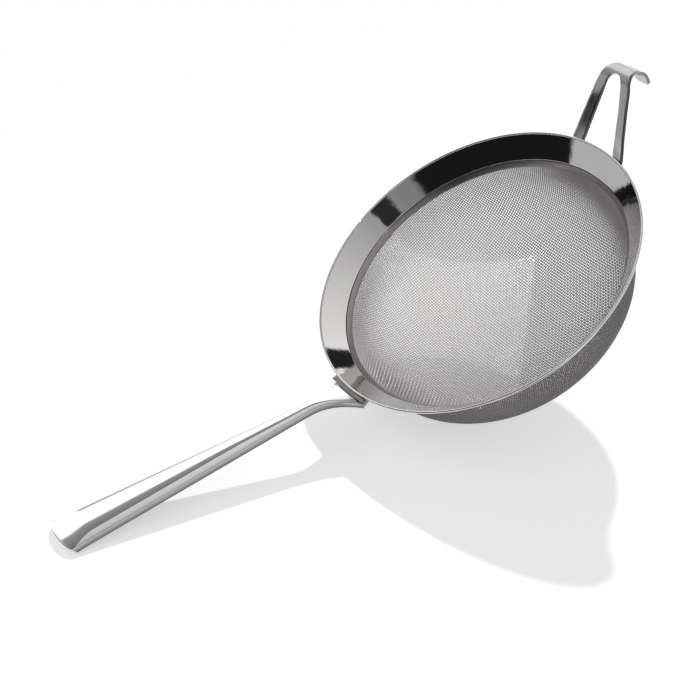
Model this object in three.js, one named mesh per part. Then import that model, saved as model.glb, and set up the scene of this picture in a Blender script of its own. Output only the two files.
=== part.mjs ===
// Mesh strainer: a woven wire bowl clamped in a wide polished rim, with a solid
// handle welded on one side and a bent sheet hook on the other.
// Millimetres, +Z up. The strainer lies as it does on a table: on the tip of its
// handle and on the side of its bowl, handle towards -X and hook towards +X.
import * as THREE from 'three';
import { mergeVertices } from 'three/addons/utils/BufferGeometryUtils.js';

// Rim: one spun sheet with a rolled edge, a cone, and a stepped lip that holds the mesh.
const RIM_DIAMETER = 200;
const BEAD_RADIUS = 0.7;
const SHEET_THICKNESS = 1;
const CONE_ANGLE = 45;
const CONE_SLANT = 14.7;
const LIP_ANGLE = 54;
const LIP_LENGTH = 4.1;

// Clamp ring: the strip inside the lip that presses the edge of the mesh against it.
const RING_THICKNESS = 0.6;
const RING_WIDTH = 3.8;

// Mesh bowl, as a sheet on the middle surface of its weave, with a plain grid of openings
// for the open share of the weave: rows down the bowl, parted by hoops and spokes.
const MESH_THICKNESS = 0.4;
const MESH_ROWS = 6;
const MESH_SECTORS = 40;
const MESH_BAR = 4;
const MESH_DISC = 8;
const BOWL_DEPTH = 51.6;
const BOWL_FULLNESS = 2.6;

// Handle: a straight bar; its run is measured level, outwards from its bracket, and its
// underside dips at the root from the bar's straight line down to the bracket. Its crowned
// top has a facet along each side, which runs out before the tip.
const HANDLE_RUN = 167;
const HANDLE_SLOPE = 0.401;
const HANDLE_LINE_HEIGHT = -1;
const HANDLE_ROOT_LIFT = 1.1;
const HANDLE_DIP_RUN = 22;
const HANDLE_FLARE_RUN = 25;
const HANDLE_ROOT_WIDTH = 28.5;
const HANDLE_NECK_WIDTH = 10.3;
const HANDLE_TIP_WIDTH = 30.2;
const HANDLE_SIDE = 2.9;
const HANDLE_SIDE_LEAN = 20;
const HANDLE_FACET = 3.1;
const HANDLE_NECK_FACET = 1.8;
const HANDLE_FACET_ANGLE = 35;
const HANDLE_FACET_END = 16;
const HANDLE_CROWN_ANGLE = 13;
const HANDLE_TIP_THICKNESS = 1.8;
const HANDLE_NOSE = 5;
const HANDLE_TIP_BULGE = 2.6;

// Bracket: a curved block that fits the cone inside and the root of the handle outside.
const BRACKET_LENGTH = 33;
const BRACKET_HEIGHT = 6.6;
const BRACKET_DROP = 1.2;
const BRACKET_OVERHANG = 2.5;
const BRACKET_EDGE = 0.6;

// Hook: one blank of flat sheet with two legs, an arch and a tongue, bent along its length.
const HOOK_THICKNESS = 2;
const HOOK_LEG_WIDTH = 6.8;
const HOOK_ARCH_WIDTH = 4.8;
const HOOK_LEG_SPACING = 38;
const HOOK_ARCH_SPACING = 17.5;
const HOOK_LAP = 9;
const HOOK_LEG_LENGTH = 42.6;
const HOOK_LEG_ANGLE = 48.3;
const HOOK_BEND_RADIUS = 7;
const HOOK_TONGUE_WIDTH = 10.5;
const HOOK_TONGUE_ANGLE = -66;
const HOOK_DIP_ANGLE = -38;
const HOOK_CURL_ANGLE = -92;
const HOOK_DIP_RADIUS = 10;
const HOOK_CURL_RADIUS = 8;
const HOOK_END = 5.4;
const HOOK_CORNER = 1.6;
const HOOK_FOOT_BEND = 5;

// Clearances between pieces that are welded or pressed together.
const SEAT_GAP = 0.3;

// Facets round the turned pieces.
const TURNS = 80;

const rad = THREE.MathUtils.degToRad;
const lerp = THREE.MathUtils.lerp;
const clamp = THREE.MathUtils.clamp;
const smooth = (t) => THREE.MathUtils.smoothstep(t, 0, 1);
const vec = (x, y) => new THREE.Vector2(x, y);

// The point that lies `along` and `across` from a start point on a half section.
function offset(start, direction, along, normal, across) {
  return start.clone().addScaledVector(direction, along).addScaledVector(normal, across);
}

// A closed half section, drawn in radius and height, turned about the upright axis.
function turned(section) {
  const loop = section.slice();
  if (loop[0].x > 0 || loop.at(-1).x > 0) loop.push(loop[0].clone());
  const geometry = new THREE.LatheGeometry(loop, TURNS).rotateX(Math.PI / 2);
  return facingOut(welded(geometry));
}

// One connected skin with no doubled points and no collapsed triangles.
function welded(geometry) {
  geometry.deleteAttribute('normal');
  geometry.deleteAttribute('uv');
  const joined = mergeVertices(geometry, 1e-4);
  const index = joined.index.array;
  const kept = [];
  for (let i = 0; i < index.length; i += 3) {
    const [a, b, c] = [index[i], index[i + 1], index[i + 2]];
    if (a !== b && b !== c && c !== a) kept.push(a, b, c);
  }
  joined.setIndex(kept);
  joined.computeVertexNormals();
  return joined;
}

// The same skin with its faces turned outwards, found from the sign of its volume.
function facingOut(geometry) {
  const point = geometry.attributes.position;
  const index = geometry.index.array;
  const [a, b, c] = [new THREE.Vector3(), new THREE.Vector3(), new THREE.Vector3()];
  let volume = 0;
  for (let i = 0; i < index.length; i += 3) {
    a.fromBufferAttribute(point, index[i]);
    b.fromBufferAttribute(point, index[i + 1]);
    c.fromBufferAttribute(point, index[i + 2]);
    volume += a.dot(b.cross(c));
  }
  if (volume < 0) {
    for (let i = 0; i < index.length; i += 3) {
      [index[i], index[i + 1]] = [index[i + 1], index[i]];
    }
    geometry.computeVertexNormals();
  }
  return geometry;
}

function piece(name, geometry, color, roughness) {
  const material = new THREE.MeshStandardMaterial({ color, roughness, metalness: 1 });
  const mesh = new THREE.Mesh(geometry, material);
  mesh.name = name;
  return mesh;
}

// Half section of the rim. The bowl's own frame has its rolled edge's top at height 0.
const rimRadius = RIM_DIAMETER / 2;
const coneDown = vec(-Math.cos(rad(CONE_ANGLE)), -Math.sin(rad(CONE_ANGLE)));
const coneOut = vec(Math.sin(rad(CONE_ANGLE)), -Math.cos(rad(CONE_ANGLE)));
const lipDown = vec(-Math.cos(rad(LIP_ANGLE)), -Math.sin(rad(LIP_ANGLE)));
const lipOut = vec(Math.sin(rad(LIP_ANGLE)), -Math.cos(rad(LIP_ANGLE)));
const beadCentre = vec(rimRadius - BEAD_RADIUS, -BEAD_RADIUS);
const innerRise = BEAD_RADIUS - SHEET_THICKNESS;
const coneTop = offset(beadCentre, coneDown, 0, coneOut, innerRise);
const coneFoot = offset(coneTop, coneDown, CONE_SLANT, coneOut, 0);
const ringTop = offset(coneFoot, coneDown, SEAT_GAP, coneOut, 0);

// What the lip holds, layer by layer outwards from the visible face of the clamp ring.
const meshMiddle = RING_THICKNESS + SEAT_GAP + MESH_THICKNESS / 2;
const lipInside = meshMiddle + MESH_THICKNESS / 2 + SEAT_GAP;
const stepOut = lipInside - coneFoot.clone().sub(ringTop).dot(lipOut);

function rimSection() {
  const points = [];
  const startAngle = -CONE_ANGLE;
  const reach = Math.acos(innerRise / BEAD_RADIUS);
  const endAngle = 360 - CONE_ANGLE - THREE.MathUtils.radToDeg(reach);
  const steps = 12;
  for (let i = 0; i <= steps; i++) {
    const angle = rad(lerp(startAngle, endAngle, i / steps));
    const spoke = vec(Math.cos(angle), Math.sin(angle));
    points.push(beadCentre.clone().addScaledVector(spoke, BEAD_RADIUS));
  }
  const lipTop = offset(coneFoot, lipDown, 0, lipOut, stepOut);
  const lipCorner = offset(lipTop, lipDown, -SHEET_THICKNESS, lipOut, SHEET_THICKNESS);
  const outerLine = beadCentre.clone().addScaledVector(coneOut, BEAD_RADIUS);
  const beyond = lipCorner.clone().sub(outerLine).dot(coneOut) / lipOut.dot(coneOut);
  points.push(coneFoot.clone());
  points.push(lipTop);
  points.push(offset(lipTop, lipDown, LIP_LENGTH, lipOut, 0));
  points.push(offset(lipTop, lipDown, LIP_LENGTH, lipOut, SHEET_THICKNESS));
  points.push(lipCorner);
  points.push(offset(lipCorner, lipDown, 0, lipOut, -beyond));
  return points;
}

function ringSection() {
  const bottom = RING_WIDTH;
  return [
    offset(ringTop, lipDown, 0, lipOut, 0),
    offset(ringTop, lipDown, bottom - 0.25, lipOut, 0),
    offset(ringTop, lipDown, bottom, lipOut, RING_THICKNESS * 0.35),
    offset(ringTop, lipDown, bottom, lipOut, RING_THICKNESS),
    offset(ringTop, lipDown, 0, lipOut, RING_THICKNESS),
  ];
}

// Middle surface of the mesh: straight under the clamp ring, then a full, flat-bottomed
// bowl whose wall follows a superellipse.
const meshEdge = offset(ringTop, lipDown, 2 * SEAT_GAP, lipOut, meshMiddle);
const bowlMouth = offset(ringTop, lipDown, RING_WIDTH, lipOut, meshMiddle);

function bowlPoint(u) {
  const power = 2 / BOWL_FULLNESS;
  const r = bowlMouth.x * Math.max(Math.cos(u), 0) ** power;
  return vec(r, bowlMouth.y - BOWL_DEPTH * Math.sin(u) ** power);
}

function bowlNormal(u) {
  const power = 2 - 2 / BOWL_FULLNESS;
  const acrossPart = Math.max(Math.cos(u), 0) ** power / bowlMouth.x;
  return vec(acrossPart, -(Math.sin(u) ** power) / BOWL_DEPTH).normalize();
}

// Places down the middle surface at even steps of its curve, for distances measured on it.
const bowlLine = [];
for (let i = 0; i <= 300; i++) {
  const u = (Math.PI / 2) * (i / 300);
  const point = i < 300 ? bowlPoint(u) : vec(0, bowlMouth.y - BOWL_DEPTH);
  const before = bowlLine.at(-1);
  const down = before ? before.down + before.point.distanceTo(point) : 0;
  bowlLine.push({ point, normal: bowlNormal(u), down });
}
const bowlLength = bowlLine.at(-1).down;

function meshAt(down) {
  const next = bowlLine.findIndex((place) => place.down >= down - 1e-9);
  if (next <= 0) return bowlLine[0];
  const [from, to] = [bowlLine[next - 1], bowlLine[next]];
  const share = (down - from.down) / (to.down - from.down);
  return {
    point: from.point.clone().lerp(to.point, share),
    normal: from.normal.clone().lerp(to.normal, share).normalize(),
  };
}

// Stations down the mesh. Each says which row of openings follows it, if any.
function meshStations() {
  const mouthNormal = lipOut.clone().add(bowlNormal(0.01)).normalize();
  const stations = [
    { point: meshEdge, normal: lipOut, row: -1 },
    { point: bowlMouth, normal: mouthNormal, row: -1 },
  ];
  const rowLength = (bowlLength - MESH_BAR - MESH_DISC) / MESH_ROWS;
  const steps = 3;
  for (let row = 0; row < MESH_ROWS; row++) {
    const start = MESH_BAR + row * rowLength;
    for (let i = 0; i <= steps; i++) {
      const place = meshAt(start + (rowLength - MESH_BAR) * (i / steps));
      stations.push({ ...place, row: i < steps ? row : -1 });
    }
  }
  stations.push({ ...bowlLine.at(-1), row: -1 });
  return stations;
}

// The spokes thin out towards the middle: every one, then every second, then every fourth.
function spokeStep(row) {
  if (row < MESH_ROWS / 2) return 1;
  return row < MESH_ROWS - 1 ? 2 : 4;
}

// Three columns for each sector: the middle of its spoke and the two sides of its opening.
// Above the openings the two sides meet in the middle of the sector.
function meshAngle(column, station, index) {
  const sector = (2 * Math.PI) / MESH_SECTORS;
  const halfSpoke = Math.min(Math.asin(Math.min(MESH_BAR / 2 / Math.max(station.point.x, 1), 1)), 0.45 * sector);
  const side = index < 2 ? sector / 2 : halfSpoke;
  const places = [0, side, sector - side];
  return Math.floor(column / 3) * sector + places[column % 3];
}

function meshGeometry() {
  const stations = meshStations();
  const columns = 3 * MESH_SECTORS;
  const positions = [];
  const index = [];
  const half = MESH_THICKNESS / 2;
  for (const [i, station] of stations.entries()) {
    for (let q = 0; q < columns; q++) {
      const angle = meshAngle(q, station, i);
      for (const side of [half, -half]) {
        const isPole = i === stations.length - 1;
        const r = isPole ? 0 : station.point.x + side * station.normal.x;
        const z = station.point.y + side * station.normal.y;
        positions.push(r * Math.cos(angle), r * Math.sin(angle), z);
      }
    }
  }
  const outer = (i, q) => 2 * (i * columns + ((q + columns) % columns));
  const inner = (i, q) => outer(i, q) + 1;
  const quad = (a, b, c, d) => index.push(a, b, c, a, c, d);
  const isSheet = (i, q) => {
    if (i < 0 || i > stations.length - 2) return false;
    const { row } = stations[i];
    if (row < 0) return true;
    const column = (q + columns) % columns;
    if (column % 3 === 1) return false;
    const spoke = (Math.floor(column / 3) + (column % 3 === 2 ? 1 : 0)) % MESH_SECTORS;
    return spoke % spokeStep(row) === 0;
  };
  const wall = ([i, q], [j, p]) => quad(outer(j, p), outer(i, q), inner(i, q), inner(j, p));
  for (let i = 0; i + 1 < stations.length; i++) {
    for (let q = 0; q < columns; q++) {
      if (!isSheet(i, q)) continue;
      quad(outer(i, q), outer(i + 1, q), outer(i + 1, q + 1), outer(i, q + 1));
      quad(inner(i, q), inner(i, q + 1), inner(i + 1, q + 1), inner(i + 1, q));
      const isLast = i === stations.length - 2;
      if (!isSheet(i, q - 1)) wall([i, q], [i + 1, q]);
      if (!isLast && !isSheet(i + 1, q)) wall([i + 1, q], [i + 1, q + 1]);
      if (!isSheet(i, q + 1)) wall([i + 1, q + 1], [i, q + 1]);
      if (!isSheet(i - 1, q)) wall([i, q + 1], [i, q]);
    }
  }
  const geometry = new THREE.BufferGeometry();
  geometry.setAttribute('position', new THREE.Float32BufferAttribute(positions, 3));
  geometry.setIndex(index);
  return facingOut(welded(geometry));
}

const rim = piece('rim', turned(rimSection()), 0xbfc0c1, 0.08);
const clampRing = piece('clamp_ring', turned(ringSection()), 0x9a9896, 0.35);
const meshBasket = piece('mesh_basket', meshGeometry(), 0xa9a6a4, 0.3);

// A skin over a row of rings with the same number of points. Both ends are closed by strips
// across the ring, whose first point lies opposite the one halfway round.
function skinned(rings) {
  const count = rings[0].length;
  const half = count / 2;
  const positions = rings.flat().flatMap((p) => [p.x, p.y, p.z]);
  const index = [];
  const quad = (a, b, c, d) => index.push(a, b, c, a, c, d);
  for (let i = 0; i + 1 < rings.length; i++) {
    const [here, next] = [i * count, (i + 1) * count];
    for (let j = 0; j < count; j++) {
      const k = (j + 1) % count;
      quad(here + j, here + k, next + k, next + j);
    }
  }
  const last = (rings.length - 1) * count;
  for (let j = 0; j + 1 < half - j; j++) {
    const one = [j, j + 1, half - j - 1, half - j];
    const other = [half + j, half + j + 1, count - j - 1, (count - j) % count];
    for (const strip of [one, other]) {
      const ends = strip.map((n) => last + n);
      quad(...ends);
      quad(...strip.reverse());
    }
  }
  const geometry = new THREE.BufferGeometry();
  geometry.setAttribute('position', new THREE.Float32BufferAttribute(positions, 3));
  geometry.setIndex(index);
  return facingOut(welded(geometry));
}

// Bracket: its section, drawn in radius and height, is carried round the bowl's axis and
// drawn in at both ends.
const bracketOutside = rimRadius + BRACKET_OVERHANG;
const handleSeat = bracketOutside + SEAT_GAP;

function bracketRing(angle, share) {
  const top = -BRACKET_DROP;
  const bottom = top - BRACKET_HEIGHT;
  const outerLine = beadCentre.clone().addScaledVector(coneOut, BEAD_RADIUS + SEAT_GAP);
  const seatAt = (z) => outerLine.x + (z - outerLine.y) / Math.tan(rad(CONE_ANGLE));
  const edge = BRACKET_EDGE;
  const section = [
    [seatAt(top), top],
    [bracketOutside - edge, top],
    [bracketOutside, top - edge],
    [bracketOutside, bottom + edge],
    [bracketOutside - edge, bottom],
    [seatAt(bottom), bottom],
  ];
  return section.map(([r, z]) => {
    const drawnIn = lerp(seatAt(z), r, share);
    return new THREE.Vector3(-drawnIn * Math.cos(angle), drawnIn * Math.sin(angle), z);
  });
}

const bracketRings = [];
const bracketHalfAngle = Math.asin(BRACKET_LENGTH / 2 / bracketOutside);
for (const [turn, share] of [[-1, 0.72], [-0.985, 0.88], [-0.95, 0.97]]) {
  bracketRings.push(bracketRing(turn * bracketHalfAngle, share));
}
for (let i = -10; i <= 10; i++) {
  bracketRings.push(bracketRing((i / 10) * 0.9 * bracketHalfAngle, 1));
}
for (const [turn, share] of [[0.95, 0.97], [0.985, 0.88], [1, 0.72]]) {
  bracketRings.push(bracketRing(turn * bracketHalfAngle, share));
}
const bracket = piece('handle_bracket', skinned(bracketRings), 0xa7a4a1, 0.2);

// Handle: a forged bar that opens from a thin crowned tip through a narrow neck into a
// trumpet flare the width of its bracket. Its sections stand on its underside.
const rootUnderside = -BRACKET_DROP - BRACKET_HEIGHT + HANDLE_ROOT_LIFT;

function handleLine(s) {
  const left = clamp(1 - s / HANDLE_DIP_RUN, 0, 1);
  const dip = HANDLE_LINE_HEIGHT - rootUnderside;
  const height = HANDLE_LINE_HEIGHT + HANDLE_SLOPE * s - dip * left * left;
  const slope = HANDLE_SLOPE + (2 * dip * left) / HANDLE_DIP_RUN;
  const along = new THREE.Vector3(-1, 0, slope).normalize();
  const upward = new THREE.Vector3(slope, 0, 1).normalize();
  return { point: new THREE.Vector3(-handleSeat - s, 0, height), along, upward };
}

function handleWidth(s) {
  const flare = clamp(1 - s / HANDLE_FLARE_RUN, 0, 1) ** 2.6;
  const t = clamp((s - HANDLE_FLARE_RUN) / (HANDLE_RUN - HANDLE_FLARE_RUN), 0, 1);
  const blade = lerp(HANDLE_NECK_WIDTH, HANDLE_TIP_WIDTH, t);
  return blade + (HANDLE_ROOT_WIDTH - HANDLE_NECK_WIDTH) * flare;
}

// Level width of the facet: half as wide at the root as at the neck, full from halfway.
function handleFacet(s) {
  const opening = lerp(0.5, 1, smooth(s / HANDLE_FLARE_RUN));
  const grown = lerp(HANDLE_NECK_FACET, HANDLE_FACET, smooth((s - HANDLE_FLARE_RUN / 2) / (HANDLE_RUN * 0.4)));
  const runOut = smooth((s - HANDLE_RUN + HANDLE_FACET_END) / HANDLE_FACET_END);
  return opening * grown * lerp(1, 0.06, runOut);
}

// Half section from the middle of the crown down to the middle of the underside, as
// distances across the handle and up from its underside.
function handleHalf(s) {
  const nose = clamp((s - HANDLE_RUN + HANDLE_NOSE) / HANDLE_NOSE, 0, 1);
  const roundOff = 1 - Math.sqrt(1 - nose * nose);
  const width = handleWidth(s) * (1 - 0.08 * roundOff);
  const facet = handleFacet(s);
  const edge = width / 2 - HANDLE_SIDE * Math.tan(rad(HANDLE_SIDE_LEAN));
  const ridge = edge - facet;
  const shoulder = HANDLE_SIDE + facet * Math.tan(rad(HANDLE_FACET_ANGLE));
  const crown = (ridge / 2) * Math.tan(rad(HANDLE_CROWN_ANGLE));
  const foot = HANDLE_SIDE * 0.15;
  const half = [0, 0.24, 0.48, 0.72, 0.9, 1].map((t) => [ridge * t, shoulder + crown * (1 - t * t)]);
  half.push([edge, HANDLE_SIDE], [width / 2, foot], [width / 2 - foot, 0]);
  half.push([width * 0.3, 0], [width * 0.15, 0], [0, 0]);
  const thinning = 1 - (1 - HANDLE_TIP_THICKNESS / (shoulder + crown)) * roundOff;
  return half.map(([y, v]) => [y, v * thinning]);
}

function handleRing(s) {
  const { point, along, upward } = handleLine(s);
  const half = handleHalf(s);
  const mirrored = half.slice(1, -1).reverse().map(([y, v]) => [-y, v]);
  const rootShare = clamp(1 - s / 22, 0, 1) ** 2;
  const tipShare = clamp((s - HANDLE_RUN + 14) / 14, 0, 1) ** 2;
  return [...half, ...mirrored].map(([y, v]) => {
    const spot = point.clone().addScaledVector(upward, v);
    spot.y = y;
    const seatX = -Math.sqrt(handleSeat ** 2 - y ** 2) - s;
    const toSeat = (seatX - spot.x) / along.x;
    const bulge = HANDLE_TIP_BULGE * (0.5 - ((2 * y) / handleWidth(s)) ** 2);
    return spot.addScaledVector(along, toSeat * rootShare + bulge * tipShare);
  });
}

const handleStations = [0, 1.2, 2.6, 4.2, 6, 8, 10.5, 13.5, 17, 21, HANDLE_FLARE_RUN];
for (let i = 1; i <= 16; i++) {
  handleStations.push(lerp(HANDLE_FLARE_RUN, HANDLE_RUN - HANDLE_NOSE, i / 16));
}
for (const turn of [25, 45, 62, 76, 90]) {
  handleStations.push(HANDLE_RUN - HANDLE_NOSE * (1 - Math.sin(rad(turn))));
}
const handle = piece('handle', skinned(handleStations.map(handleRing)), 0xd4d4d5, 0.1);

// Hook: the centre line of its bent sheet, as a chain of straights and arcs in the
// upright plane. Each entry gives the length, the angle it ends at and how many steps.
const hookLine = (() => {
  const start = offset(beadCentre, coneDown, 0, coneOut, BEAD_RADIUS + SEAT_GAP + HOOK_THICKNESS / 2);
  start.addScaledVector(coneDown, HOOK_LAP);
  const straight = HOOK_LEG_LENGTH - HOOK_FOOT_BEND;
  const arch = HOOK_ARCH_SPACING / 2;
  const runs = [
    { length: HOOK_LAP + SHEET_THICKNESS, end: CONE_ANGLE, steps: 2 },
    { length: HOOK_FOOT_BEND, end: HOOK_LEG_ANGLE, steps: 2 },
    { length: straight - arch, end: HOOK_LEG_ANGLE, steps: 4 },
    { length: arch, end: HOOK_LEG_ANGLE, steps: 8, ends: 'bend' },
    { radius: HOOK_BEND_RADIUS, end: HOOK_TONGUE_ANGLE, steps: 11, ends: 'tongue' },
    { radius: HOOK_DIP_RADIUS, end: HOOK_DIP_ANGLE, steps: 4 },
    { radius: HOOK_CURL_RADIUS, end: HOOK_CURL_ANGLE, steps: 6 },
    { length: HOOK_END - HOOK_CORNER, end: HOOK_CURL_ANGLE, steps: 2 },
    { length: HOOK_CORNER, end: HOOK_CURL_ANGLE, steps: 4, ends: 'end' },
  ];
  const stations = [];
  const here = start.clone();
  let angle = CONE_ANGLE;
  let s = 0;
  const put = () => stations.push({ s, at: here.clone(), angle });
  put();
  const marks = {};
  for (const run of runs) {
    const from = angle;
    const length = run.length ?? run.radius * Math.abs(rad(run.end - from));
    for (let i = 1; i <= run.steps; i++) {
      const next = lerp(from, run.end, i / run.steps);
      const middle = rad((angle + next) / 2);
      here.add(vec(Math.cos(middle), Math.sin(middle)).multiplyScalar(length / run.steps));
      angle = next;
      s += length / run.steps;
      put();
    }
    if (run.ends) marks[run.ends] = s;
  }
  return { stations, marks };
})();

// Edges of the flat blank at a distance along it: the slot between the legs and the outside.
const archRadius = (HOOK_ARCH_SPACING - HOOK_ARCH_WIDTH) / 2;
const bendStart = hookLine.stations.findIndex((p) => p.s >= hookLine.marks.bend);
const archTop = hookLine.stations[bendStart + 3].s;

function hookEdges(s) {
  const { bend, tongue, end } = hookLine.marks;
  const up = clamp(s / bend, 0, 1);
  const spacing = lerp(HOOK_LEG_SPACING, HOOK_ARCH_SPACING, up);
  const width = lerp(HOOK_LEG_WIDTH, HOOK_ARCH_WIDTH, up);
  const legInside = (spacing - width) / 2;
  const intoArch = clamp((s - archTop + archRadius) / archRadius, 0, 1);
  const slot = s >= archTop - 1e-6 ? 0 : legInside * Math.sqrt(1 - intoArch * intoArch);
  const shoulder = smooth(clamp((s - bend + 3) / (tongue - bend + 5), 0, 1));
  let outside = lerp((spacing + width) / 2, HOOK_TONGUE_WIDTH / 2, shoulder);
  const corner = clamp((s - end + HOOK_CORNER) / HOOK_CORNER, 0, 1);
  outside -= HOOK_CORNER * (1 - Math.sqrt(1 - corner * corner));
  return { slot, outside };
}

function hookGeometry() {
  const { stations } = hookLine;
  const columns = 3;
  const positions = [];
  const index = [];
  const corner = (station, y, side) => {
    const lean = rad(station.angle);
    const out = vec(Math.sin(lean), -Math.cos(lean));
    const at = station.at.clone().addScaledVector(out, (side * HOOK_THICKNESS) / 2);
    const free = smooth(clamp((station.s - HOOK_LAP) / 14, 0, 1));
    const wrap = rimRadius - Math.sqrt(rimRadius ** 2 - y * y);
    const level = rimRadius - Math.sqrt(rimRadius ** 2 - (HOOK_LEG_SPACING / 2) ** 2);
    positions.push(at.x - lerp(wrap, level, free), y, at.y);
    return positions.length / 3 - 1;
  };
  const quad = (a, b, c, d) => index.push(a, b, c, a, c, d);
  const grid = stations.map((station) => {
    const { slot, outside } = hookEdges(station.s);
    const row = { slot };
    for (const hand of [-1, 1]) {
      for (const side of [-1, 1]) {
        const line = [];
        for (let c = 0; c <= columns; c++) {
          line.push(corner(station, hand * lerp(slot, outside, c / columns), side));
        }
        row[`${hand},${side}`] = line;
      }
    }
    return row;
  });
  for (const hand of [-1, 1]) {
    for (let i = 0; i + 1 < grid.length; i++) {
      const [low, high] = [grid[i], grid[i + 1]];
      const [under, over] = [`${hand},-1`, `${hand},1`];
      const turn = (a, b, c, d) => (hand > 0 ? quad(a, b, c, d) : quad(d, c, b, a));
      for (let c = 0; c < columns; c++) {
        turn(low[under][c], low[under][c + 1], high[under][c + 1], high[under][c]);
        turn(low[over][c + 1], low[over][c], high[over][c], high[over][c + 1]);
      }
      turn(low[under][columns], low[over][columns], high[over][columns], high[under][columns]);
      if (low.slot > 0) turn(low[over][0], low[under][0], high[under][0], high[over][0]);
    }
    const [first, last] = [grid[0], grid.at(-1)];
    const turn = (a, b, c, d) => (hand > 0 ? quad(a, b, c, d) : quad(d, c, b, a));
    for (let c = 0; c < columns; c++) {
      const [u, o] = [`${hand},-1`, `${hand},1`];
      turn(first[u][c + 1], first[u][c], first[o][c], first[o][c + 1]);
      turn(last[u][c], last[u][c + 1], last[o][c + 1], last[o][c]);
    }
  }
  const geometry = new THREE.BufferGeometry();
  geometry.setAttribute('position', new THREE.Float32BufferAttribute(positions, 3));
  geometry.setIndex(index);
  return facingOut(welded(geometry));
}

const hook = piece('rest_hook', hookGeometry(), 0xa9abad, 0.18);

// Lay the strainer down: the lean at which the tip of the handle and the side of the
// bowl are equally low.
function lowest(mesh, lean) {
  const point = mesh.geometry.attributes.position;
  const [across, upright] = [Math.sin(lean), Math.cos(lean)];
  let least = Infinity;
  for (let i = 0; i < point.count; i++) {
    least = Math.min(least, point.getX(i) * across + point.getZ(i) * upright);
  }
  return least;
}

let [leanLow, leanHigh] = [rad(5), rad(60)];
for (let i = 0; i < 40; i++) {
  const lean = (leanLow + leanHigh) / 2;
  if (lowest(handle, lean) > lowest(meshBasket, lean)) leanLow = lean;
  else leanHigh = lean;
}

const bowl = new THREE.Group();
bowl.name = 'bowl_frame';
bowl.add(rim, clampRing, meshBasket, bracket, handle, hook);
bowl.rotation.y = -leanLow;

const strainer = new THREE.Group();
strainer.name = 'strainer';
strainer.add(bowl);
strainer.updateMatrixWorld(true);
const box = new THREE.Box3().setFromObject(bowl, true);
bowl.position.set(-(box.min.x + box.max.x) / 2, 0, -box.min.z);
strainer.updateMatrixWorld(true);

const size = box.getSize(new THREE.Vector3());
const lean = THREE.MathUtils.radToDeg(leanLow);
console.log(`lean ${lean.toFixed(2)} degrees, box ${size.toArray().map((v) => v.toFixed(1)).join(' x ')} mm`);

export default strainer;
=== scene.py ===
# Mesh strainer on a white table: a woven wire bowl clamped in a wide polished rim, with a
# solid handle welded on one side and a bent sheet hook on the other. It lies on the tip of
# its handle and on the side of its bowl. Metres, +Z up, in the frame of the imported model.
import math

import bmesh
import bpy
import numpy as np
from mathutils import Matrix, Vector


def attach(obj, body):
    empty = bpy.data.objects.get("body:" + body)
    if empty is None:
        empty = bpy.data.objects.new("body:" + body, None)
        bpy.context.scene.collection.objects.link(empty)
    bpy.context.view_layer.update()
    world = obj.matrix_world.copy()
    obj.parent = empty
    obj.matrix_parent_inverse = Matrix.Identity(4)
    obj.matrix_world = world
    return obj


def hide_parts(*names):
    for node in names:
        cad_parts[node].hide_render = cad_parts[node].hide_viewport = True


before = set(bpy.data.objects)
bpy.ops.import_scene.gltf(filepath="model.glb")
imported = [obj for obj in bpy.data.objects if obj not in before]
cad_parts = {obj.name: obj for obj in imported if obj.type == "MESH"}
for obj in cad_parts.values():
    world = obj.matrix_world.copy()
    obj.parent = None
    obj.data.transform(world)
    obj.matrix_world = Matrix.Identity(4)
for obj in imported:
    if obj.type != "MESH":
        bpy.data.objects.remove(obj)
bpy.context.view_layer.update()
scene = bpy.context.scene

# Camera: a long lens above and in front of the strainer, to the left of its bowl, looking
# down into the bowl.
CAMERA_PLACE = (-0.39748, -0.65101, 0.53429)
CAMERA_TURN = [math.radians(a) for a in (57.614, 1.699, -31.760)]
CAMERA_SENSOR = 36
CAMERA_LENS = 83.19
CAMERA_SHIFT = 0.00264

camera_data = bpy.data.cameras.new("camera")
camera_data.sensor_width = CAMERA_SENSOR
camera_data.lens = CAMERA_LENS
camera_data.shift_x = CAMERA_SHIFT
camera = bpy.data.objects.new("camera", camera_data)
camera.location = CAMERA_PLACE
camera.rotation_euler = CAMERA_TURN
scene.collection.objects.link(camera)
scene.camera = camera

# Table and studio: a white table that glows a little, a room of dark and bright flags that
# the polished steel mirrors, a hard key light from behind on the right, and a narrow lamp.
TABLE_LEFT = -0.34
TABLE_RIGHT = 3.0
TABLE_FRONT = -3.0
TABLE_BACK = 0.5
TABLE_WHITE = 0.9
TABLE_ROUGHNESS = 0.9
TABLE_GLOW = 0.5
KEY_FALL = Vector((-0.852, -0.914, -1.0))
KEY_STRENGTH = 1.5
KEY_ANGLE = math.radians(2.2)
LAMP_PLACE = (0.0017, -0.0742, 0.3679)
LAMP_TURN = [math.radians(a) for a in (-19.6, -4.04, 138.82)]
LAMP_SIZE = (0.118, 0.114)
LAMP_SPREAD = math.radians(0.4)
LAMP_POWER = 0.025

scene.view_settings.view_transform = "Standard"


def wire(tree, source, target):
    """Links an output socket to an input socket."""
    tree.links.new(source, target)


def feed(tree, value, target):
    """Gives an input socket a number, or links it to an output socket."""
    if isinstance(value, (int, float)):
        target.default_value = value
    else:
        wire(tree, value, target)


def math_node(tree, operation, *values):
    """A Math node; each value is a number or a socket. Returns its output."""
    node = tree.nodes.new("ShaderNodeMath")
    node.operation = operation
    for slot, value in zip(node.inputs, values):
        feed(tree, value, slot)
    return node.outputs[0]


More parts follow.
